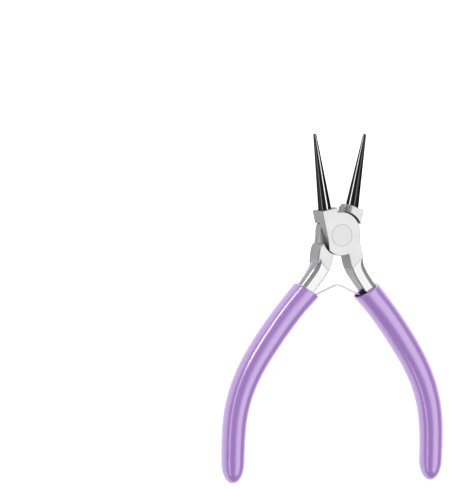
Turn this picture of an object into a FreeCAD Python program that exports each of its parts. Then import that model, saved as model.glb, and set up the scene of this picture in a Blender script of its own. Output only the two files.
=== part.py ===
import FreeCAD, Part
import math
import os

# Round nose pliers with a lap joint, lying on their back face. Millimetres.
# Origin on the pivot axis at the head's back face, +Y to the jaw tips, +Z to the front face.
# Everything is drawn for the front lever with the jaws shut, then opened by HALF_OPEN. The back
# lever is the same forging turned over about the Y axis, with a fuller hip below its shoulder.

V = FreeCAD.Vector
Z_AXIS = V(0, 0, 1)

# Head and lap joint
HEAD_THICK = 7.5
LAP_GAP = 0.04            # between the two plates' sliding faces
HALF_OPEN = 13.85         # each lever, from shut to the sprung-open rest pose, degrees
BLOCK_OUTER = 5.4         # half width of the head across the jaw blocks, at their own plate's face
BLOCK_SPREAD = 0.4        # the block's outer side is this much further out at the other face
BLOCK_INNER = 0.5         # jaw block's inner face, from the centre line
BLOCK_CHAMFER = 0.7       # on the block's inner edge, at the face away from its own plate
LIP_OVER = 0.3            # the plate's lip passes the centre line by this much
FRONT_BLOCK_TOP = (9.85, 9.75)   # the height of the block's top at its outer and inner edges
BACK_BLOCK_TOP = (10.2, 11.0)
LIP_TOP = 9.75
CORNER_CENTRE = (0.1, 1.1)
CORNER_R = 6.95           # the plate's round corner, which turns inside the other jaw block
CORNER_GAP = 0.18         # from that corner to the block's concave shoulder, jaws shut
TANG_PLATE_R = 7.0        # the plate's lower edge, about the pivot
TANG_SHOULDER_R = 7.2     # the tang's concave shoulder round it
CORNER_END = -14.0        # polar angle where the corner runs into the slightly hollow side
NOTCH = (-5.4, -0.4)      # where the plate's other side narrows above the tang's shoulder
NOTCH_FOOT = -5.75        # the x where that side meets the lower edge
TANG_TOP = (6.1, -7.3)    # the tang's outer edge, where the hollow side ends
TANG_TOP_SPREAD = 0.2     # the outer edge moves out this much by the end of the head's flat outline
TANG_TOP_INNER = 1.25     # its inner edge
SHOULDER_END = 5.7        # the x where the tang's concave shoulder stops
SHOULDER_CORNER = (6.3, -4.5)
# The back lever alone bulges below that corner, and its bulge has chamfered edges
HIP = [(6.8, -5.0), (7.05, -6.4), (6.95, -8.2), (6.6, -10.2), (6.3, -11.6)]
HIP_CHAMFER = 0.45
GROUND_END = 8.4          # the head's flat outline runs this far below the pivot
EDGE_BREAK = 0.15         # small chamfer round the head's outline

# Rivet
RIVET_R = 2.5
RIVET_HEAD_R = 3.75
RIVET_HEAD_DEPTH = 1.2
RIVET_EDGE = 0.06         # broken edge round each flush face
RIVET_CLEARANCE = 0.03    # radial, in the front lever only

# Jaw cones
JAW_TIP_Y = 36.0          # both cones end here when shut
JAW_BASE_R = 2.25
JAW_TIP_R = 0.6
JAW_BASE_X = 2.75
JAW_TIP_X = 0.85
JAW_SUNK = 0.6            # drawn this far into its block, then cut back to the block

# Handle: stations of the steel as (x, y, lean from -Y, width, thickness). The outer edges are
# bevelled and the outer side is crowned, both growing from almost nothing at the head.
TANG_STATIONS = [
    (3.75, -6.9, 0.0, 5.0, 8.3),
    (3.7, -9.4, 5.0, 4.9, 8.1),
    (3.9, -12.3, 17.0, 4.9, 7.4),
    (5.15, -16.2, 24.0, 4.8, 6.5),
    (7.1, -20.7, 25.5, 4.75, 6.1),
    (9.35, -25.2, 25.5, 4.9, 5.8),
    (11.9, -31.0, 24.5, 4.8, 5.6),
]
BEVEL_SHARES = [0.1, 0.4, 0.85, 1.0, 1.0, 1.0, 1.0]
BEVEL_ACROSS = 1.6
BEVEL_STEPS = [(0.35, 0.85), (-0.1, 1.28)]   # its next corners, as (in from the side, down)
FACE_FALL = 0.3           # the front and back fall this much from the inner edge to the bevel
SIDE_CROWN = 0.45
INNER_EDGE = 0.25
TANG_LEAN_AT_MOUTH = 25.5
CORE_SHARES = [0.28, 0.4, 0.52, 0.64, 0.76, 0.86, 0.96]   # stations of the core along the grip
CORE_WIDTH = 4.6
CORE_THICK = 5.4

# Grip centre line as (x, y); the grip's mouth is at the first point
GRIP_LINE = [
    (6.35, -21.15), (9.4, -26.8), (15.75, -41.0), (20.05, -54.7), (20.95, -67.5), (18.8, -79.8),
    (17.6, -84.6),
]
GRIP_MOUTH_D = 9.7
GRIP_BODY_D = 9.35
GRIP_END_D = 8.2
GRIP_DOME = 7.2           # length of the rounded end
GRIP_CUFF_SHARE = 0.1     # share of the length over which the mouth flares
GRIP_TAPER_START = 0.35   # share of the length where the grip starts to thin
MOUTH_SKEW = 11.0         # the mouth is cut this far off square, its inner side higher
MOUTH_RISE_SHARE = -0.03  # the sleeve is drawn from here before the mouth is cut
MOUTH_STATIONS = [        # the open mouth's (share of the length, width, thickness)
    (-0.03, 8.3, 6.5),
    (0.1, 6.4, 5.9),
]
MOUTH_ROUNDING = 0.45     # corner radius as a share of the thickness

# Return spring
SPRING_THICK = 0.45
SPRING_WIDTH = 3.0
SPRING_ROOT = (8.35, -20.6)   # where an arm leaves its grip, levers at rest
SPRING_APEX_Y = -17.2
SPRING_APEX_GAP = 0.35        # each arm stops this far short of the apex
SPRING_TAIL = 4.2             # length tucked into the grip
SPRING_TAIL_TILT = 10.0       # the tail turns this much towards the tang

MID = HEAD_THICK / 2
TOLERANCE = 0.01          # for picking edges


def polar(radius, degrees, z=0.0):
    a = math.radians(degrees)
    return V(radius * math.cos(a), radius * math.sin(a), z)


def line(a, b):
    return Part.LineSegment(a, b).toShape()


def arc(first, middle, last):
    return Part.Arc(first, middle, last).toShape()


def arc_about(centre, radius, first, last, z):
    """Arc from polar angle first to last, in degrees."""
    middle = V(*centre, 0)
    return arc(*(middle + polar(radius, a, z) for a in (first, (first + last) / 2, last)))


def arc_onwards(previous, end):
    """Arc to a point that carries on smoothly from the end of another arc."""
    start = previous.lastVertex(True).Point
    heading = previous.tangentAt(previous.LastParameter)
    normal, chord = Z_AXIS.cross(heading), end - start
    centre = start + normal * (chord.dot(chord) / (2 * chord.dot(normal)))
    outward = (start + end) * 0.5 - centre
    return arc(start, centre + outward.normalize() * (start - centre).Length, end)


def prism(edges, height):
    return Part.Face(Part.Wire(edges)).extrude(V(0, 0, height))


def polyline(points, z):
    corners = [V(x, y, z) for x, y in points]
    return [line(a, b) for a, b in zip(corners, corners[1:])]


def on_circle(centre, radius, x):
    """The upper point of a circle at x, and its polar angle in degrees."""
    angle = math.acos((x - centre[0]) / radius)
    return (x, centre[1] + radius * math.sin(angle)), math.degrees(angle)


def shoulder_corner():
    """Where the jaw block's outer side meets its concave shoulder."""
    mirrored = (-CORNER_CENTRE[0], CORNER_CENTRE[1])
    return on_circle(mirrored, CORNER_R + CORNER_GAP, -BLOCK_OUTER - BLOCK_SPREAD)[0]


def front_plate(top, z, height):
    """Jaw block, lip, round plate and the top of the tang: the half that shows from its own side."""
    lip_foot, lip_angle = on_circle(CORNER_CENTRE, CORNER_R, LIP_OVER)
    lower_end = -180 + math.degrees(math.acos(-NOTCH_FOOT / TANG_PLATE_R))
    tang_inner = -math.degrees(math.acos(TANG_TOP_INNER / TANG_PLATE_R))
    tang_start, notch_foot = polar(TANG_PLATE_R, tang_inner, z), polar(TANG_PLATE_R, lower_end, z)
    edges = polyline([(-BLOCK_OUTER - BLOCK_SPREAD, top[0]), (-BLOCK_INNER, top[1]),
                      (LIP_OVER, LIP_TOP), lip_foot], z)
    edges.append(arc_about(CORNER_CENTRE, CORNER_R, lip_angle, CORNER_END, z))
    edges.append(arc_onwards(edges[-1], V(*TANG_TOP, z)))
    edges += polyline([TANG_TOP, (TANG_TOP[0] + TANG_TOP_SPREAD, -GROUND_END),
                       (TANG_TOP_INNER, -GROUND_END), (tang_start.x, tang_start.y)], z)
    edges.append(arc_about((0, 0), TANG_PLATE_R, tang_inner, lower_end, z))
    edges += polyline([(notch_foot.x, notch_foot.y), NOTCH, shoulder_corner(),
                       (-BLOCK_OUTER - BLOCK_SPREAD, top[0])], z)
    return prism(edges, height)


def jaw_block(top, z, height):
    """The part of the jaw block outside the concave shoulder that the other plate turns in."""
    mirrored = (-CORNER_CENTRE[0], CORNER_CENTRE[1])
    radius = CORNER_R + CORNER_GAP
    foot_in, inner = on_circle(mirrored, radius, -BLOCK_INNER)
    foot_out, outer = on_circle(mirrored, radius, -BLOCK_OUTER - BLOCK_SPREAD)
    edges = [arc_about(mirrored, radius, inner, outer, z)]
    edges += polyline([foot_out, (-BLOCK_OUTER - BLOCK_SPREAD, top[0]), (-BLOCK_INNER, top[1]), foot_in], z)
    return prism(edges, height)


def wedge(corners, first_y, last_y):
    """Triangle of (x, z) corners drawn along the Y axis."""
    points = [V(x, first_y, z) for x, z in corners]
    sides = [line(a, b) for a, b in zip(points, points[1:] + points[:1])]
    return Part.Face(Part.Wire(sides)).extrude(V(0, last_y - first_y, 0))


def inner_chamfer(top):
    """Bevels the block's inner edge on the face at z = 0."""
    corners = [(-BLOCK_INNER, 0), (-BLOCK_INNER - BLOCK_CHAMFER, 0), (-BLOCK_INNER, BLOCK_CHAMFER)]
    return wedge(corners, 0, top[1] + 1)


def side_slant(top):
    """Leans the block's outer side in towards the face at z = HEAD_THICK."""
    far, near = -BLOCK_OUTER - BLOCK_SPREAD, -BLOCK_OUTER
    return wedge([(far, 0), (far - 1, HEAD_THICK), (near, HEAD_THICK)], NOTCH[1], top[1] + 1)


def tang_root(z, height):
    """The top of the tang outside the concave shoulder that the other plate turns in."""
    inner = -math.degrees(math.acos(TANG_TOP_INNER / TANG_SHOULDER_R))
    outer = -math.degrees(math.acos(SHOULDER_END / TANG_SHOULDER_R))
    start, end = polar(TANG_SHOULDER_R, inner, z), polar(TANG_SHOULDER_R, outer, z)
    sides = polyline([(end.x, end.y), SHOULDER_CORNER, TANG_TOP,
                      (TANG_TOP[0] + TANG_TOP_SPREAD, -GROUND_END), (TANG_TOP_INNER, -GROUND_END),
                      (start.x, start.y)], z)
    return prism([arc_about((0, 0), TANG_SHOULDER_R, inner, outer, z)] + sides, height)


def hip():
    """Full-thickness bulge on the outer side of the tang's top."""
    inner_side = [(SHOULDER_END, HIP[-1][1]), (SHOULDER_END, SHOULDER_CORNER[1])]
    body = prism(polyline([SHOULDER_CORNER] + HIP + inner_side + [SHOULDER_CORNER], 0), HEAD_THICK)
    outer = [e for e in body.Edges if e.BoundBox.XMin > SHOULDER_CORNER[0] - TOLERANCE
             and e.BoundBox.ZLength < TOLERANCE and e.BoundBox.XLength > TOLERANCE]
    return body.makeChamfer(HIP_CHAMFER, outer)


def across_and_centre(x, y, lean):
    a = math.radians(lean)
    return V(math.cos(a), math.sin(a), 0), V(x, y, MID)


def steel_section(x, y, lean, width, thick, bevel):
    """The handle's section: flat inner side, sloping front and back, bevels and a crowned outer side."""
    across, centre = across_and_centre(x, y, lean)
    w, t, edge = width / 2, thick / 2, INNER_EDGE
    upper = [(-w, t - edge), (-w + edge, t), (w - BEVEL_ACROSS * bevel, t - FACE_FALL * bevel),
             *((w - across_in * bevel, t - down * bevel) for across_in, down in BEVEL_STEPS),
             (w + SIDE_CROWN * bevel, 0)]
    lower = [(u, -v) for u, v in reversed(upper[:-1])]
    corners = [centre + across * u + Z_AXIS * v for u, v in upper + lower]
    return Part.Wire([line(a, b) for a, b in zip(corners, corners[1:] + corners[:1])])


def rounded_section(x, y, lean, width, thick, corner):
    """A rounded rectangle across the grip, as a wire of four lines and four arcs."""
    across, centre = across_and_centre(x, y, lean)

    def at(u, w):
        return centre + across * u + Z_AXIS * w

    half_w, half_t = width / 2, thick / 2
    slack = corner * (1 - math.sqrt(0.5))
    edges = []
    for su, sw, along in ((1, 1, False), (-1, 1, True), (-1, -1, False), (1, -1, True)):
        ends = [at(su * half_w, sw * (half_t - corner)), at(su * (half_w - corner), sw * half_t)]
        if along:
            ends.reverse()
        edges.append(arc(ends[0], at(su * (half_w - slack), sw * (half_t - slack)), ends[1]))
    joined = []
    for i, edge in enumerate(edges):
        following = edges[(i + 1) % 4]
        joined += [edge, line(edge.lastVertex(True).Point, following.firstVertex(True).Point)]
    return Part.Wire(joined)


def grip_curve():
    curve = Part.BSplineCurve()
    curve.interpolate([V(x, y, MID) for x, y in GRIP_LINE])
    return curve


GRIP_CURVE = grip_curve()


def on_grip(share):
    """Point and direction at a share of the grip's centre line."""
    first, last = GRIP_CURVE.FirstParameter, GRIP_CURVE.LastParameter
    t = first + (last - first) * share
    return GRIP_CURVE.value(t), V(*GRIP_CURVE.tangent(t)[0])


def lean_of(direction):
    return math.degrees(math.atan2(direction.x, -direction.y))


def core_section(share):
    point, direction = on_grip(share)
    return steel_section(point.x, point.y, lean_of(direction), CORE_WIDTH, CORE_THICK, 1.0)


def pocket_section(share, width, thick):
    point, direction = on_grip(share)
    return rounded_section(point.x, point.y, lean_of(direction), width, thick, MOUTH_ROUNDING * thick)


def handle_core():
    sections = [steel_section(*station, bevel) for station, bevel in zip(TANG_STATIONS, BEVEL_SHARES)]
    sections += [core_section(share) for share in CORE_SHARES]
    core = Part.makeLoft(sections, True)
    box = core.BoundBox
    slab = Part.makeBox(box.XLength, box.YLength, HEAD_THICK, V(box.XMin, box.YMin, 0))
    return core.common(slab)


def rivet_shape(extra=0.0):
    head, shank = RIVET_HEAD_R + extra, RIVET_R + extra
    cone = Part.makeCone(head, shank, RIVET_HEAD_DEPTH)
    far_cone = Part.makeCone(shank, head, RIVET_HEAD_DEPTH, V(0, 0, HEAD_THICK - RIVET_HEAD_DEPTH))
    body = cone.fuse([Part.makeCylinder(shank, HEAD_THICK), far_cone]).removeSplitter()
    if extra:
        return body
    rims = [e for e in body.Edges if abs(e.BoundBox.XMax - RIVET_HEAD_R) < TOLERANCE]
    return body.makeChamfer(RIVET_EDGE, rims)


def break_edges(head):
    """Chamfers the sharp outline edges of the head's two ground faces."""
    def on_a_face(edge):
        return any(all(abs(v.Z - z) < TOLERANCE for v in edge.Vertexes) for z in (0, HEAD_THICK))

    edges = [e for e in head.Edges if on_a_face(e) and e.BoundBox.YMin > -GROUND_END + TOLERANCE]
    return head.makeChamfer(EDGE_BREAK, edges)


def lever(block_top, rivet_extra, with_hip):
    """One lever, jaws shut: jaw block up left, plate to the front, tang and core down right."""
    split = MID + LAP_GAP / 2
    plate = front_plate(block_top, split, HEAD_THICK - split)
    block = jaw_block(block_top, 0, split).cut(inner_chamfer(block_top))
    root = tang_root(0, split)
    head = plate.fuse([block, root]).removeSplitter().cut(side_slant(block_top))
    head = break_edges(head)
    if with_hip:
        head = head.fuse(hip()).removeSplitter()
    whole = head.fuse(handle_core()).removeSplitter()
    return whole.cut(rivet_shape(rivet_extra))


def jaw(block_top, whole_lever):
    """Round cone on the front lever's jaw block, leaning in to meet its twin at the tips."""
    base = V(-JAW_BASE_X, sum(block_top) / 2, MID)
    along = V(-JAW_TIP_X, JAW_TIP_Y, MID) - base
    length = along.Length - JAW_TIP_R
    along.normalize()
    root_r = JAW_BASE_R + (JAW_BASE_R - JAW_TIP_R) / length * JAW_SUNK
    cone = Part.makeCone(root_r, JAW_TIP_R, length + JAW_SUNK, base - along * JAW_SUNK, along)
    tip = Part.makeSphere(JAW_TIP_R, base + along * length)
    return cone.fuse(tip).removeSplitter().cut(whole_lever)


def grip_diameter(share):
    if share <= GRIP_CUFF_SHARE:
        return GRIP_MOUTH_D + (GRIP_BODY_D - GRIP_MOUTH_D) * share / GRIP_CUFF_SHARE
    taper = max(0.0, share - GRIP_TAPER_START) / (1 - GRIP_TAPER_START)
    return GRIP_BODY_D + (GRIP_END_D - GRIP_BODY_D) * taper


def grip_ring(share, diameter):
    point, direction = on_grip(share)
    return Part.Wire(Part.Circle(point, direction, diameter / 2).toShape())


def grip_dome():
    """The grip's rounded end: half of an ellipsoid, longer than it is wide."""
    radius = GRIP_END_D / 2
    ellipse = Part.Ellipse(V(0, 0, GRIP_DOME), V(radius, 0, 0), V(0, 0, 0))
    quarter = Part.ArcOfEllipse(ellipse, 0, math.pi / 2).toShape()
    tip, rim = (v.Point for v in (quarter.firstVertex(True), quarter.lastVertex(True)))
    profile = [quarter, line(rim, V(0, 0, 0)), line(V(0, 0, 0), tip)]
    dome = Part.Face(Part.Wire(profile)).revolve(V(0, 0, 0), Z_AXIS, 360)
    point, direction = on_grip(1)
    dome.Placement = FreeCAD.Placement(point, FreeCAD.Rotation(Z_AXIS, direction))
    return dome


def above_mouth():
    """Everything beyond the plane of the grip's mouth."""
    point, direction = on_grip(0)
    lean = math.radians(lean_of(direction) - MOUTH_SKEW)
    size = GRIP_MOUTH_D
    box = Part.makeBox(2 * size, 2 * size, size, V(-size, -size, 0))
    outward = V(-math.sin(lean), math.cos(lean), 0)
    box.Placement = FreeCAD.Placement(point, FreeCAD.Rotation(Z_AXIS, outward))
    return box


def grip(whole_lever):
    """Dipped sleeve with a rounded end, hollow where the core lies and open at its mouth."""
    shares = [MOUTH_RISE_SHARE] + [i / 10 for i in range(11)]
    body = Part.makeLoft([grip_ring(share, grip_diameter(share)) for share in shares], True)
    sleeve = body.fuse(grip_dome()).removeSplitter()
    pocket = Part.makeLoft([pocket_section(*station) for station in MOUTH_STATIONS], True)
    return sleeve.cut([pocket, above_mouth()]).cut(whole_lever)


def across_run(a, b):
    along = (b - a).normalize()
    return V(-along.y, along.x, 0)


def spring_arm(side):
    """Half of the leaf spring at rest: the tail in the grip's mouth and the arm up to the apex."""
    root = V(side * SPRING_ROOT[0], SPRING_ROOT[1], 0)
    to_apex = V(0, SPRING_APEX_Y, 0) - root
    tip = root + to_apex * (1 - SPRING_APEX_GAP / to_apex.Length)
    lean = math.radians(TANG_LEAN_AT_MOUTH + HALF_OPEN + SPRING_TAIL_TILT)
    tail = root + V(side * math.sin(lean), -math.cos(lean), 0) * SPRING_TAIL
    z = MID - SPRING_WIDTH / 2
    first, second = across_run(tail, root), across_run(root, tip)
    mitre = (first + second) * (1 / (1 + first.dot(second)))
    offsets = [(tail, first), (root, mitre), (tip, second)]
    half = SPRING_THICK / 2
    outline = [p + n * half for p, n in offsets] + [p - n * half for p, n in reversed(offsets)]
    outline = [(p.x, p.y) for p in outline]
    return prism(polyline(outline + outline[:1], z), SPRING_WIDTH)


def half_of_pliers(block_top, rivet_extra, with_hip):
    whole_lever = lever(block_top, rivet_extra, with_hip)
    return [whole_lever, jaw(block_top, whole_lever), grip(whole_lever)]


def opened(shape, degrees):
    shape.rotate(V(0, 0, 0), Z_AXIS, degrees)
    return shape


def turned_over(shape):
    shape.rotate(V(0, 0, MID), V(0, 1, 0), 180)
    return shape


front_half = [opened(s, HALF_OPEN) for s in half_of_pliers(FRONT_BLOCK_TOP, RIVET_CLEARANCE, False)]
back_half = [opened(turned_over(s), -HALF_OPEN) for s in half_of_pliers(BACK_BLOCK_TOP, 0.0, True)]
nodes = dict(zip(["front_lever", "left_jaw", "right_grip"], front_half))
nodes.update(zip(["back_lever", "right_jaw", "left_grip"], back_half))
nodes["pivot_rivet"] = rivet_shape()
nodes["spring_left_arm"] = spring_arm(-1)
nodes["spring_right_arm"] = spring_arm(1)

os.makedirs("parts", exist_ok=True)
for name, shape in nodes.items():
    shape.exportStep("parts/" + name + ".step")
    box = shape.optimalBoundingBox(False)
    print(f"{name:17} solids {len(shape.Solids)} valid {shape.isValid()} volume {shape.Volume:8.1f}",
          f"x {box.XMin:6.1f} {box.XMax:6.1f} y {box.YMin:6.1f} {box.YMax:6.1f}",
          f"z {box.ZMin:5.2f} {box.ZMax:5.2f}")
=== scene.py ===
import math

import bpy
import numpy as np
from mathutils import Matrix, Vector


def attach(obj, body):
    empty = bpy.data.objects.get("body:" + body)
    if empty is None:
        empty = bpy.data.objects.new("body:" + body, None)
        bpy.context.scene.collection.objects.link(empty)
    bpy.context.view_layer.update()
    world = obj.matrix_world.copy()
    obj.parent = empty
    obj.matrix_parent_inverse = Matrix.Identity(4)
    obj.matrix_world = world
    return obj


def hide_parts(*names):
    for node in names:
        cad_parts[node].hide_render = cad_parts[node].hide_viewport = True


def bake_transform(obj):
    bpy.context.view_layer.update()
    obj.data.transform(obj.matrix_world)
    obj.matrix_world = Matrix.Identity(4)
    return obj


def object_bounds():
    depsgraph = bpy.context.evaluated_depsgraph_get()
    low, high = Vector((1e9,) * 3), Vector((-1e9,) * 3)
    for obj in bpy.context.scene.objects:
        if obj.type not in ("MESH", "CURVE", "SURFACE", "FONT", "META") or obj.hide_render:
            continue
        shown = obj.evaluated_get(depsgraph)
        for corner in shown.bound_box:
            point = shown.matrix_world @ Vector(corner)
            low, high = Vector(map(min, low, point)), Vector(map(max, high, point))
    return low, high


# Round nose pliers lying on their back face: satin ground head, polished tangs, gloss black cones,
# a bright leaf spring and gloss lavender sleeve grips. Metres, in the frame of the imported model.

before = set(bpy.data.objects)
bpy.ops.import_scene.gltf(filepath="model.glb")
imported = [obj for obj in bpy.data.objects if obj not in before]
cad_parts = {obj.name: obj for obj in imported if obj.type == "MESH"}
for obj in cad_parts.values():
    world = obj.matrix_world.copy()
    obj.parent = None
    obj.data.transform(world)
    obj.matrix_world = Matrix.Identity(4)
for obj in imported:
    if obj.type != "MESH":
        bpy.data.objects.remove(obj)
CAD_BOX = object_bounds()

MM = 0.001
HEAD_FRONT = 7.5 * MM
MID = HEAD_FRONT / 2
HALF_OPEN = math.radians(13.85)      # each lever, from shut to the rest pose
OBJECT_CENTRE = Vector((0, -0.025, MID))
JAWS_CENTRE = Vector((0, 0.021, MID))

# Camera
CAMERA_AZIMUTH = math.radians(23.5)  # round to the left of straight above
CAMERA_TILT = math.radians(3.0)      # towards the jaw tips
CAMERA_ROLL = math.radians(1.2)
CAMERA_DISTANCE = 2.0
FRAME_HEIGHT = 0.1675                # what the picture's height spans at the head's front face
PIVOT_RIGHT = 0.0401                 # the pivot stands this far right of the picture's centre
PIVOT_ABOVE = 0.0031
SENSOR = 36.0

# Lights
LIGHT_DISTANCE = 0.9
FILL_DISTANCE = 0.8                  # off the softboxes' plane, so that both show in a reflection
CONE_STRIP_ELEVATION = 6
CONE_STRIP_HEIGHT = 70
WORLD_STRENGTH = 0.45
FLOOR_GLOW = 0.75


# ---------------------------------------------------------------- camera and light

def camera_axes():
    """Right, up and back of the camera, as unit vectors."""
    a, e = CAMERA_AZIMUTH, CAMERA_TILT
    back = Vector((-math.sin(a) * math.cos(e), math.sin(e), math.cos(a) * math.cos(e)))
    right = Vector((0, 1, 0)).cross(back).normalized()
    up = back.cross(right)
    turn = Matrix.Rotation(CAMERA_ROLL, 3, back)
    return turn @ right, turn @ up, back


RIGHT, UP, BACK = camera_axes()


def make_camera():
    data = bpy.data.cameras.new("camera")
    data.sensor_width = SENSOR
    data.lens = CAMERA_DISTANCE / FRAME_HEIGHT * SENSOR
    data.clip_end = 10
    camera = bpy.data.objects.new("camera", data)
    bpy.context.scene.collection.objects.link(camera)
    pose = Matrix((RIGHT, UP, BACK)).transposed().to_4x4()
    pivot_front = Vector((0, 0, HEAD_FRONT))
    pose.translation = pivot_front + BACK * CAMERA_DISTANCE - RIGHT * PIVOT_RIGHT - UP * PIVOT_ABOVE
    camera.matrix_world = pose
    bpy.context.scene.camera = camera


def softbox(name, azimuth, elevation, width, height, radiance, target=OBJECT_CENTRE,
            distance=LIGHT_DISTANCE):
    """A rectangular light facing the tool. Angles are in degrees from the camera's direction as seen
    from the target, azimuth to its right and elevation to its top. Width and height are the angles
    that it spans."""
    az, el = math.radians(azimuth), math.radians(elevation)
    towards = (RIGHT * math.sin(az) + BACK * math.cos(az)) * math.cos(el) + UP * math.sin(el)
    data = bpy.data.lights.new(name, "AREA")
    data.shape = "RECTANGLE"
    data.size = 2 * distance * math.tan(math.radians(width) / 2)
    data.size_y = 2 * distance * math.tan(math.radians(height) / 2)
    data.energy = radiance * math.pi * data.size * data.size_y
    light = bpy.data.objects.new(name, data)
    bpy.context.scene.collection.objects.link(light)
    side = UP.cross(towards).normalized()
    pose = Matrix((side, towards.cross(side), towards)).transposed().to_4x4()
    pose.translation = target + towards * distance
    light.matrix_world = pose
    light.visible_camera = False
    return light


def make_studio():
    """The lights that fall on everything, and the grey-white surroundings."""
    softbox("right_softbox", azimuth=46, elevation=0, width=58, height=100, radiance=0.95)
    softbox("left_softbox", azimuth=-36, elevation=0, width=14, height=100, radiance=2.0)
    softbox("grip_strip", azimuth=-33, elevation=38, width=10, height=24, radiance=6.5)
    world = bpy.data.worlds.new("studio")
    world.use_nodes = True
    world.node_tree.nodes["Background"].inputs["Color"].default_value = (1, 1, 1, 1)
    world.node_tree.nodes["Background"].inputs["Strength"].default_value = WORLD_STRENGTH
    bpy.context.scene.world = world
    bpy.context.scene.view_settings.view_transform = "Standard"


def light_only(light, *pieces):
    """Light linking: the light falls on these pieces and on nothing else."""
    lit = bpy.data.collections.new(light.name + "_lit")
    for piece in pieces:
        lit.objects.link(piece)
    light.light_linking.receiver_collection = lit


def cone_strip(cone, azimuth, width, radiance):
    """A tall narrow light for a streak down the length of one cone."""
    light = softbox(cone.name + "_strip", azimuth, CONE_STRIP_ELEVATION, width, CONE_STRIP_HEIGHT,
                    radiance, JAWS_CENTRE)
    light_only(light, cone)


# ---------------------------------------------------------------- materials

class Shader:
    """A Principled material whose node tree is built by short calls."""

    def __init__(self, name, **surface):
        self.material = bpy.data.materials.new(name)
        self.material.use_nodes = True
        self.tree = self.material.node_tree
        self.surface = self.tree.nodes["Principled BSDF"]
        self.place = self.add("TexCoord").outputs["Object"]
        for socket, value in surface.items():
            self.put(self.surface, socket, value)

    def put(self, node, socket, value):
        target = node.inputs[socket.replace("_", " ") if isinstance(socket, str) else socket]
        if isinstance(value, bpy.types.NodeSocket):
            self.tree.links.new(value, target)
        elif target.type == "RGBA":
            target.default_value = (*value, 1)
        else:
            target.default_value = value

    def add(self, kind, settings=None, **sockets):
        node = self.tree.nodes.new("ShaderNode" + kind)
        for name, value in (settings or {}).items():
            setattr(node, name, value)
        for socket, value in sockets.items():
            self.put(node, socket, value)
        return node

    def noise(self, scale, stretch=(1, 1, 1), detail=3.0):
        """Noise of so many cells a metre, squeezed or stretched along the axes."""
        mapped = self.add("Mapping", Vector=self.place, Scale=[scale * s for s in stretch])
        return self.add("TexNoise", Vector=mapped.outputs[0], Scale=1.0, Detail=detail).outputs["Fac"]

    def split(self, vector):
        """The X, Y and Z of a vector."""
        return self.add("SeparateXYZ", Vector=vector).outputs[:3]

    def math(self, operation, a, b=0.0):
        node = self.add("Math", {"operation": operation})
        self.put(node, 0, a)
        self.put(node, 1, b)
        return node.outputs[0]

    def multiply(self, a, b):
        return self.math("MULTIPLY", a, b)

    def plus(self, a, b):
        return self.math("ADD", a, b)

    def between(self, value, low, high, first=0.0, last=1.0):
        """Value from low to high, remapped to first to last and clamped."""
        node = self.add("MapRange", {"interpolation_type": "SMOOTHSTEP"}, Value=value,
                        From_Min=low, From_Max=high, To_Min=first, To_Max=last)
        return node.outputs[0]

    def mix(self, factor, a, b):
        """Colours a and b mixed by factor."""
        node = self.add("Mix", {"data_type": "RGBA"})
        for index, value in ((0, factor), (6, a), (7, b)):
            self.put(node, index, value)
        return node.outputs[2]

    def bump(self, height, strength, depth, under=None):
        node = self.add("Bump", Height=height, Strength=strength, Distance=depth)
        if under:
            self.put(node, "Normal", under)
        return node.outputs[0]

    def finish(self, **surface):
        for socket, value in surface.items():
            self.put(self.surface, socket, value)
        return self.material


# Ground steel: fine marks drawn out along the tool
GRAIN = 900                          # marks a metre
GRAIN_STRETCH = (4, 0.25, 4)
GRAIN_DEPTH = 0.04 * MM

# Where the polish of each tang starts: a seam at 45 degrees, given by the height at which it would
# cross the middle of the tool
LEFT_SEAM = -16.9 * MM
RIGHT_SEAM = -15.7 * MM
HEAD_FOOT = (-7.5 * MM, -8.5 * MM)   # no polish above the first height, and all of it below the second
SEAM_WAVER = 0.1 * MM
# Half width of the dark line along each polish seam: painted shadow, standing in for the ground step's
# shadow.
SEAM_SHADOW_HALF_WIDTH = 0.25 * MM
POLISH_FADE = 0.3 * MM
EDGE_SHADE_WIDTH = 0.6 * MM                 # painted shade: the darker line down a polished face's edges
EDGE_RADIUS = 0.36 * MM              # how far an edge's rounding shows in the shading
CLOUD_DEPTH = 0.3 * MM
RING_PITCH = 0.22 * MM               # the rivet's turning rings
RING_DEPTH = 0.01 * MM


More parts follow.
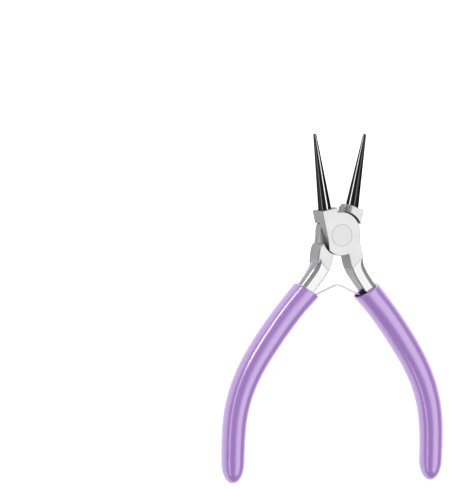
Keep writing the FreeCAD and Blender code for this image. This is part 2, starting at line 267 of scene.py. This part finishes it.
def lever_steel():
    """Ground satin faces on the head, sides painted dark as painted shade, and tangs polished towards
    the grips, with a painted shadow line along each polish seam and painted shade down the polished
    faces' edges.
    """
    s = Shader("lever_steel", Metallic=1.0)
    normal = s.add("NewGeometry").outputs["Normal"]
    # Mask of the faces. The sides and edge chamfers take the painted shade colour below.
    on_face = s.between(s.math("ABSOLUTE", s.split(normal)[2]), 0.80, 0.97)
    grain = s.noise(GRAIN, GRAIN_STRETCH, 4)
    cloud = s.noise(160, detail=4)

    across, along, _ = s.split(s.place)
    seam = s.between(across, -MM, MM, LEFT_SEAM, RIGHT_SEAM)
    past = s.math("SUBTRACT", s.plus(seam, s.math("ABSOLUTE", across)), along)
    past = s.plus(past, s.multiply(s.noise(300), SEAM_WAVER))
    polish = s.multiply(s.between(past, 0.0, POLISH_FADE), s.between(along, *HEAD_FOOT))
    # Painted shadow: a thin dark line along the seam where the polish starts, in place of the ground
    # step's shadow.
    line = s.multiply(s.between(past, -SEAM_SHADOW_HALF_WIDTH, 0.0), s.between(past, SEAM_SHADOW_HALF_WIDTH, 0.0))
    line = s.multiply(line, s.between(along, *HEAD_FOOT, 0.0, 0.6))

    # Painted shade: polished faces are darkened near their edges, where the rounded normal turns away
    # from the face's own.
    rounded = s.add("Bevel", {"samples": 8}, Radius=EDGE_SHADE_WIDTH).outputs[0]
    turn = s.add("VectorMath", {"operation": "DOT_PRODUCT"})
    s.put(turn, 0, rounded)
    s.put(turn, 1, normal)
    edge_shade = s.multiply(s.between(turn.outputs["Value"], 0.99, 0.90), polish)

    satin = s.mix(grain, (0.60, 0.60, 0.605), (0.68, 0.68, 0.68))
    bright = s.mix(cloud, (0.62, 0.62, 0.62), (0.70, 0.70, 0.70))
    # Painted shade: side faces get a much darker base colour than the faces, standing in for the
    # darker light that falls on them.
    side = s.mix(cloud, (0.20, 0.20, 0.21), (0.25, 0.25, 0.26))
    # The seam line is painted dark grey (0.15) as a painted shadow.
    face = s.mix(line, s.mix(polish, satin, bright), (0.15, 0.15, 0.15))
    # Painted shade down the polished faces' edges.
    face = s.mix(edge_shade, face, (0.12, 0.12, 0.12))
    satin_rough = s.between(s.plus(grain, cloud), 0.6, 1.4, 0.34, 0.48)
    rough = s.between(polish, 0, 1, satin_rough, 0.16)
    marks = s.bump(cloud, 0.06, CLOUD_DEPTH, s.bump(grain, 0.25, GRAIN_DEPTH))
    edges = s.add("Bevel", {"samples": 8}, Radius=EDGE_RADIUS, Normal=marks)
    return s.finish(Base_Color=s.mix(on_face, side, face), Roughness=rough, Normal=edges.outputs[0])


def rivet_steel():
    """The same ground finish, with faint turning rings round its centre, and a dull edge chamfer
    painted pale: painted light that hides the chamfer's dark shade.
    """
    s = Shader("rivet_steel", Metallic=1.0)
    x, y, _ = s.split(s.place)
    radius = s.math("SQRT", s.plus(s.math("POWER", x, 2.0), s.math("POWER", y, 2.0)))
    rings = s.math("SINE", s.multiply(radius, 2 * math.pi / RING_PITCH))
    grain = s.noise(GRAIN, GRAIN_STRETCH, 4)
    facing = s.math("ABSOLUTE", s.split(s.add("NewGeometry").outputs["Normal"])[2])
    # Painted light: the chamfer is painted near white so that it does not show as a dark ring.
    painted_light_chamfer = s.between(facing, 0.95, 0.75)
    ground = s.mix(grain, (0.58, 0.58, 0.585), (0.66, 0.66, 0.66))
    rough = s.between(s.plus(grain, s.multiply(rings, 0.1)), 0.2, 0.8, 0.34, 0.46)
    marks = s.bump(rings, 0.10, RING_DEPTH, s.bump(grain, 0.2, GRAIN_DEPTH))
    return s.finish(Base_Color=s.mix(painted_light_chamfer, ground, (0.92, 0.92, 0.92)),
                    Roughness=s.between(painted_light_chamfer, 0, 1, rough, 0.75), Normal=marks)


def black_gloss():
    """Polished black oxide, with fine turning marks, a little rubbed wear, and a duller tip."""
    s = Shader("black_gloss", Metallic=1.0, Specular_Tint=(0.12, 0.12, 0.12))
    marks = s.noise(2600, (0.15, 2.5, 0.15), 3)
    cloud = s.noise(220, detail=4)
    rub = s.between(s.noise(1500, (1, 0.4, 1), 5), 0.62, 0.80)
    black = s.mix(cloud, (0.020, 0.020, 0.021), (0.026, 0.026, 0.027))
    tip = s.between(s.split(s.place)[1], 20 * MM, 34 * MM, 0.0, 0.14)
    return s.finish(Base_Color=s.mix(s.multiply(rub, 0.35), black, (0.10, 0.10, 0.10)),
                    Roughness=s.plus(tip, s.between(cloud, 0.3, 0.7, 0.06, 0.11)),
                    Normal=s.bump(marks, 0.07, 0.02 * MM))


def spring_steel():
    """Bright rolled strip, with marks along its width."""
    s = Shader("spring_steel", Metallic=1.0)
    grain = s.noise(1500, (0.3, 0.3, 3), 3)
    return s.finish(Base_Color=s.mix(grain, (0.54, 0.54, 0.54), (0.63, 0.63, 0.62)),
                    Roughness=s.between(grain, 0.3, 0.7, 0.18, 0.30),
                    Normal=s.bump(grain, 0.15, 0.03 * MM))


def grip_vinyl():
    """Gloss dipped vinyl: a soft orange-peel surface, slight mottling and a few fine scuffs."""
    s = Shader("grip_vinyl", IOR=1.5, Coat_Weight=1.0, Coat_Roughness=0.17, Coat_IOR=1.9,
               Subsurface_Weight=0.15, Subsurface_Radius=(1.2 * MM, 0.8 * MM, 1.4 * MM),
               Subsurface_Scale=1.0)
    mottle = s.noise(90, detail=4)
    peel = s.noise(650, detail=2)
    scuff = s.between(s.noise(500, (3, 0.2, 3), 5), 0.66, 0.80)
    lavender = s.mix(mottle, (0.265, 0.122, 0.425), (0.300, 0.144, 0.460))
    return s.finish(Base_Color=s.mix(s.multiply(scuff, 0.12), lavender, (0.55, 0.42, 0.68)),
                    Roughness=s.between(scuff, 0, 1, 0.28, 0.42), Normal=s.bump(peel, 0.03, 0.4 * MM))


def floor_paint():
    s = Shader("floor_paint", Roughness=0.6, Specular_IOR_Level=0.2)
    speck = s.noise(30, detail=3)
    return s.finish(Base_Color=s.mix(speck, (0.90, 0.90, 0.90), (0.93, 0.93, 0.93)),
                    Emission_Color=(1, 1, 1), Emission_Strength=FLOOR_GLOW)


# ---------------------------------------------------------------- mesh building

def mesh_object(name, vertices, faces, material):
    mesh = bpy.data.meshes.new(name)
    mesh.from_pydata([tuple(v) for v in vertices], [], faces)
    mesh.materials.append(material)
    mesh.shade_smooth()
    thing = bpy.data.objects.new(name, mesh)
    bpy.context.scene.collection.objects.link(thing)
    return thing


def closed_tube(name, rings, material):
    """Joins rings of equal count side by side, and closes each end to its centre point."""
    count = len(rings[0])
    vertices = [p for ring in rings for p in ring]
    faces = []
    for r in range(len(rings) - 1):
        for i in range(count):
            j = (i + 1) % count
            faces.append((r * count + i, r * count + j, (r + 1) * count + j, (r + 1) * count + i))
    for ring_index, flip in ((0, True), (len(rings) - 1, False)):
        centre = sum(rings[ring_index], Vector()) / count
        vertices.append(centre)
        pole = len(vertices) - 1
        for i in range(count):
            a, b = ring_index * count + i, ring_index * count + (i + 1) % count
            faces.append((b, a, pole) if flip else (a, b, pole))
    return mesh_object(name, vertices, faces, material)


def ring(centre, across, width, height, count, power=2.0):
    """An ellipse about centre, in the plane of the unit vector across and the Z axis, from its half
    width and half height. A power above 2 makes it squarer."""
    def eased(value):
        return math.copysign(abs(value) ** (2 / power), value)

    z = Vector((0, 0, 1))
    turns = [2 * math.pi * i / count for i in range(count)]
    return [centre + across * (width * eased(math.cos(t))) + z * (height * eased(math.sin(t)))
            for t in turns]


def opened(point, side):
    """A point of the right handle with the jaws shut, moved to the rest pose on the given side."""
    x, y, z = point
    c, s = math.cos(HALF_OPEN), math.sin(HALF_OPEN)
    return Vector((side * (x * c - y * s), x * s + y * c, z))


# ---------------------------------------------------------------- grips

# The right sleeve's centre line in millimetres, with the jaws shut
GRIP_LINE = [(6.35, -21.15), (9.4, -26.8), (15.75, -41.0), (20.05, -54.7), (20.95, -67.5),
             (18.8, -79.8), (17.6, -84.6)]
GRIP_MOUTH_R = 4.85 * MM
GRIP_BODY_R = 4.67 * MM
GRIP_END_R = 4.1 * MM
GRIP_CUFF_SHARE = 0.1
GRIP_TAPER_START = 0.35
GRIP_DOME = 7.2 * MM
BORE = (3.6 * MM, 3.05 * MM)         # half width and half height of the bore at the mouth
BORE_FLOOR = (3.2 * MM, 2.95 * MM)
BORE_INWARD = 0.6 * MM               # the bore stands off centre, to leave room for the spring's tail
BORE_DEPTH = 1.8 * MM
BORE_POWER = 3.2
LIP_RISE = 0.35 * MM
MOUTH_SKEW = math.radians(11)        # the mouth's inner side stands this much higher than square
SKEW_REACH = 9 * MM
GRIP_SIDES = 96
GRIP_STATIONS = 110
BORE_STEPS = 5
BORE_FLOOR_RING = 0.5                # an extra ring this share of the way out from the floor's centre
LIP_STEPS = 12
DOME_STEPS = 16


def smooth_line(points):
    """Natural cubic spline through points (metres), as a function of distance from the first."""
    knots = np.concatenate([[0], np.cumsum(np.linalg.norm(np.diff(points, axis=0), axis=1))])
    step = np.diff(knots)
    slope = np.diff(points, axis=0) / step[:, None]
    n = len(points)
    system, right = np.eye(n), np.zeros((n, 2))
    for i in range(1, n - 1):
        system[i, i - 1:i + 2] = step[i - 1], 2 * (step[i - 1] + step[i]), step[i]
        right[i] = 6 * (slope[i] - slope[i - 1])
    bend = np.linalg.solve(system, right)

    def at(s):
        i = int(np.clip(np.searchsorted(knots, s) - 1, 0, n - 2))
        u, h = s - knots[i], step[i]
        first = slope[i] - h * (2 * bend[i] + bend[i + 1]) / 6
        third = (bend[i + 1] - bend[i]) / h
        place = points[i] + first * u + bend[i] * u ** 2 / 2 + third * u ** 3 / 6
        heading = first + bend[i] * u + third * u ** 2 / 2
        return Vector((*place, MID)), Vector((*heading, 0)).normalized()

    return at, knots[-1]


def grip_radius(share):
    if share < GRIP_CUFF_SHARE:
        return GRIP_MOUTH_R + (GRIP_BODY_R - GRIP_MOUTH_R) * share / GRIP_CUFF_SHARE
    taper = max(0.0, share - GRIP_TAPER_START) / (1 - GRIP_TAPER_START)
    return GRIP_BODY_R + (GRIP_END_R - GRIP_BODY_R) * taper


def make_grip(name, side, body, node, material):
    """Sleeve drawn from the bore's floor, out over a rounded lip and down to its domed end."""
    at, length = smooth_line(np.array(GRIP_LINE) * MM)
    end, end_heading = at(length)

    def loop(distance, width, height, power=2.0, inward=0.0):
        if distance <= length:
            centre, heading = at(distance)
        else:
            centre, heading = end + end_heading * (distance - length), end_heading
        across = Vector((-heading.y, heading.x, 0))
        skew = math.tan(MOUTH_SKEW) * max(0.0, 1 - distance / SKEW_REACH)
        points = ring(centre - across * inward, across, width, height, GRIP_SIDES, power)
        return [p + heading * ((p - centre).dot(across) * skew) for p in points]

    floor_ring = [half * BORE_FLOOR_RING for half in BORE_FLOOR]
    rings = [loop(BORE_DEPTH, *floor_ring, BORE_POWER, BORE_INWARD)]
    for i in range(BORE_STEPS + 1):
        share = 1 - i / BORE_STEPS
        half = [floor * share + mouth * (1 - share) for floor, mouth in zip(BORE_FLOOR, BORE)]
        rings.append(loop(LIP_RISE + (BORE_DEPTH - LIP_RISE) * share, *half, BORE_POWER, BORE_INWARD))
    for i in range(1, LIP_STEPS):
        turn = math.pi * i / LIP_STEPS
        distance, out = LIP_RISE * (1 - math.sin(turn)), (1 - math.cos(turn)) / 2
        inner = loop(distance, *BORE, BORE_POWER, BORE_INWARD)
        outer = loop(distance, GRIP_MOUTH_R, GRIP_MOUTH_R)
        rings.append([a.lerp(b, out) for a, b in zip(inner, outer)])
    for i in range(GRIP_STATIONS + 1):
        distance = LIP_RISE + (length - LIP_RISE) * i / GRIP_STATIONS
        radius = grip_radius(distance / length)
        rings.append(loop(distance, radius, radius))
    for i in range(1, DOME_STEPS):
        turn = math.pi / 2 * i / DOME_STEPS
        radius = GRIP_END_R * math.cos(turn)
        rings.append(loop(length + GRIP_DOME * math.sin(turn), radius, radius))
    rings = [[opened(p, side) for p in points] for points in rings]
    grip = closed_tube(name, rings if side > 0 else [points[::-1] for points in rings], material)
    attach(grip, body)
    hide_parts(node)
    return grip


# ---------------------------------------------------------------- jaws

JAW_TIP_Y = 36.0 * MM
JAW_TIP_X = 0.85 * MM
JAW_TIP_R = 0.6 * MM
JAW_BASE_X = 2.75 * MM
JAW_BASE_R = 2.25 * MM
LEFT_BLOCK_TOP = 9.8 * MM            # where each cone stands on its jaw block
RIGHT_BLOCK_TOP = 10.6 * MM
JAW_SUNK = 0.5 * MM                  # how far the cone runs on into its block
JAW_SIDES = 128
JAW_STEPS = 60
JAW_TIP_STEPS = 10


def make_jaw(name, side, block_top, body, node, material):
    """Round cone from its jaw block to a ball tip."""
    base = Vector((JAW_BASE_X, block_top, MID))
    along = Vector((JAW_TIP_X, JAW_TIP_Y, MID)) - base
    length = along.length - JAW_TIP_R
    along.normalize()
    across = Vector((along.y, -along.x, 0))
    profile = [(-JAW_SUNK, JAW_BASE_R)]
    for i in range(JAW_STEPS + 1):
        share = i / JAW_STEPS
        profile.append((length * share, JAW_BASE_R + (JAW_TIP_R - JAW_BASE_R) * share))
    for i in range(1, JAW_TIP_STEPS):
        turn = math.pi / 2 * i / JAW_TIP_STEPS
        profile.append((length + JAW_TIP_R * math.sin(turn), JAW_TIP_R * math.cos(turn)))
    rings = []
    for distance, radius in profile:
        circle = ring(base + along * distance, across, radius, radius, JAW_SIDES)
        circle = [opened((-p.x, p.y, p.z), -side) for p in circle]
        rings.append(circle if side > 0 else circle[::-1])
    jaw = closed_tube(name, rings, material)
    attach(jaw, body)
    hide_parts(node)
    return jaw


# ---------------------------------------------------------------- spring

SPRING_ROOT = Vector((8.35 * MM, -20.6 * MM))
SPRING_APEX = Vector((0, -17.2 * MM))
SPRING_TAIL = 4.2 * MM
TANG_LEAN = math.radians(25.5)       # of the tang at the grip's mouth, with the jaws shut
TAIL_TILT = math.radians(10)         # of the tail from the tang
SPRING_THICK = 0.42 * MM
SPRING_WIDTH = 3.0 * MM
APEX_RADIUS = 3.0 * MM
TAIL_STEPS = 8
ARM_STEPS = 24
APEX_STEPS = 12
STRIP_EDGE_STEPS = 8


def spring_line():
    """Centre line of the right half of the strip: tail, root bend, arm and half of the round apex."""
    lean = TANG_LEAN + TAIL_TILT + HALF_OPEN
    tail = SPRING_ROOT + Vector((math.sin(lean), -math.cos(lean))) * SPRING_TAIL
    slope = math.atan2(SPRING_APEX.y - SPRING_ROOT.y, SPRING_ROOT.x)
    arm_end = Vector((APEX_RADIUS * math.sin(slope), 0))
    arm_end.y = SPRING_APEX.y - APEX_RADIUS * (1 - math.cos(slope))
    points = [tail.lerp(SPRING_ROOT, i / TAIL_STEPS) for i in range(TAIL_STEPS)]
    points += [SPRING_ROOT.lerp(arm_end, i / ARM_STEPS) for i in range(ARM_STEPS)]
    for i in range(APEX_STEPS + 1):
        turn = slope * (1 - i / APEX_STEPS)
        points.append(Vector((APEX_RADIUS * math.sin(turn),
                              SPRING_APEX.y - APEX_RADIUS * (1 - math.cos(turn)))))
    return points


def strip_section():
    """The strip's rounded cross section, as (through the thickness, along the width)."""
    half_t, half_w = SPRING_THICK / 2, SPRING_WIDTH / 2
    turns = [math.pi * i / STRIP_EDGE_STEPS for i in range(STRIP_EDGE_STEPS + 1)]
    top = [(half_t * math.cos(t), half_w - half_t + half_t * math.sin(t)) for t in turns]
    return top + [(-a, -b) for a, b in top]


def make_spring_half(name, side, node, material):
    line = spring_line()
    rings = []
    for i, point in enumerate(line):
        before, after = line[max(i - 1, 0)], line[min(i + 1, len(line) - 1)]
        heading = (after - before).normalized()
        across = Vector((-heading.y, heading.x, 0))
        centre = Vector((point.x, point.y, MID))
        section = [centre + across * t + Vector((0, 0, w)) for t, w in strip_section()]
        section = [Vector((side * p.x, p.y, p.z)) for p in section]
        rings.append(section if side > 0 else section[::-1])
    half = closed_tube(name, rings, material)
    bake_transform(half)
    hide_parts(node)


# ---------------------------------------------------------------- the whole scene

def coat_cad_node(name, material):
    """Gives a carried CAD node its material, smooth shaded."""
    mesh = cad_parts[name].data
    mesh.materials.clear()
    mesh.materials.append(material)
    mesh.shade_smooth()


FLOOR_SIZE = 6.0


def make_floor():
    half, lowest = FLOOR_SIZE / 2, CAD_BOX[0].z
    corners = [(x, y, lowest) for x, y in ((-half, -half), (half, -half), (half, half), (-half, half))]
    mesh_object("floor", corners, [(0, 1, 2, 3)], floor_paint())


make_camera()
make_studio()
make_floor()
steel = lever_steel()
for lever in ("front_lever", "back_lever"):
    coat_cad_node(lever, steel)
coat_cad_node("pivot_rivet", rivet_steel())
vinyl = grip_vinyl()
right_sleeve = make_grip("right_sleeve", 1, "front_half", "right_grip", vinyl)
left_sleeve = make_grip("left_sleeve", -1, "back_half", "left_grip", vinyl)
sleeve_fill = softbox("sleeve_fill", azimuth=49, elevation=0, width=38, height=100, radiance=1.0,
                      distance=FILL_DISTANCE)
light_only(sleeve_fill, right_sleeve, left_sleeve)
black = black_gloss()
left_cone = make_jaw("left_cone", -1, LEFT_BLOCK_TOP, "front_half", "left_jaw", black)
right_cone = make_jaw("right_cone", 1, RIGHT_BLOCK_TOP, "back_half", "right_jaw", black)
cone_strip(left_cone, azimuth=47, width=20, radiance=52)
cone_strip(left_cone, azimuth=-45, width=12, radiance=11)
cone_strip(right_cone, azimuth=-54, width=18, radiance=52)
cone_strip(right_cone, azimuth=39, width=12, radiance=8)
strip = spring_steel()
make_spring_half("spring_right_half", 1, "spring_right_arm", strip)
make_spring_half("spring_left_half", -1, "spring_left_arm", strip)
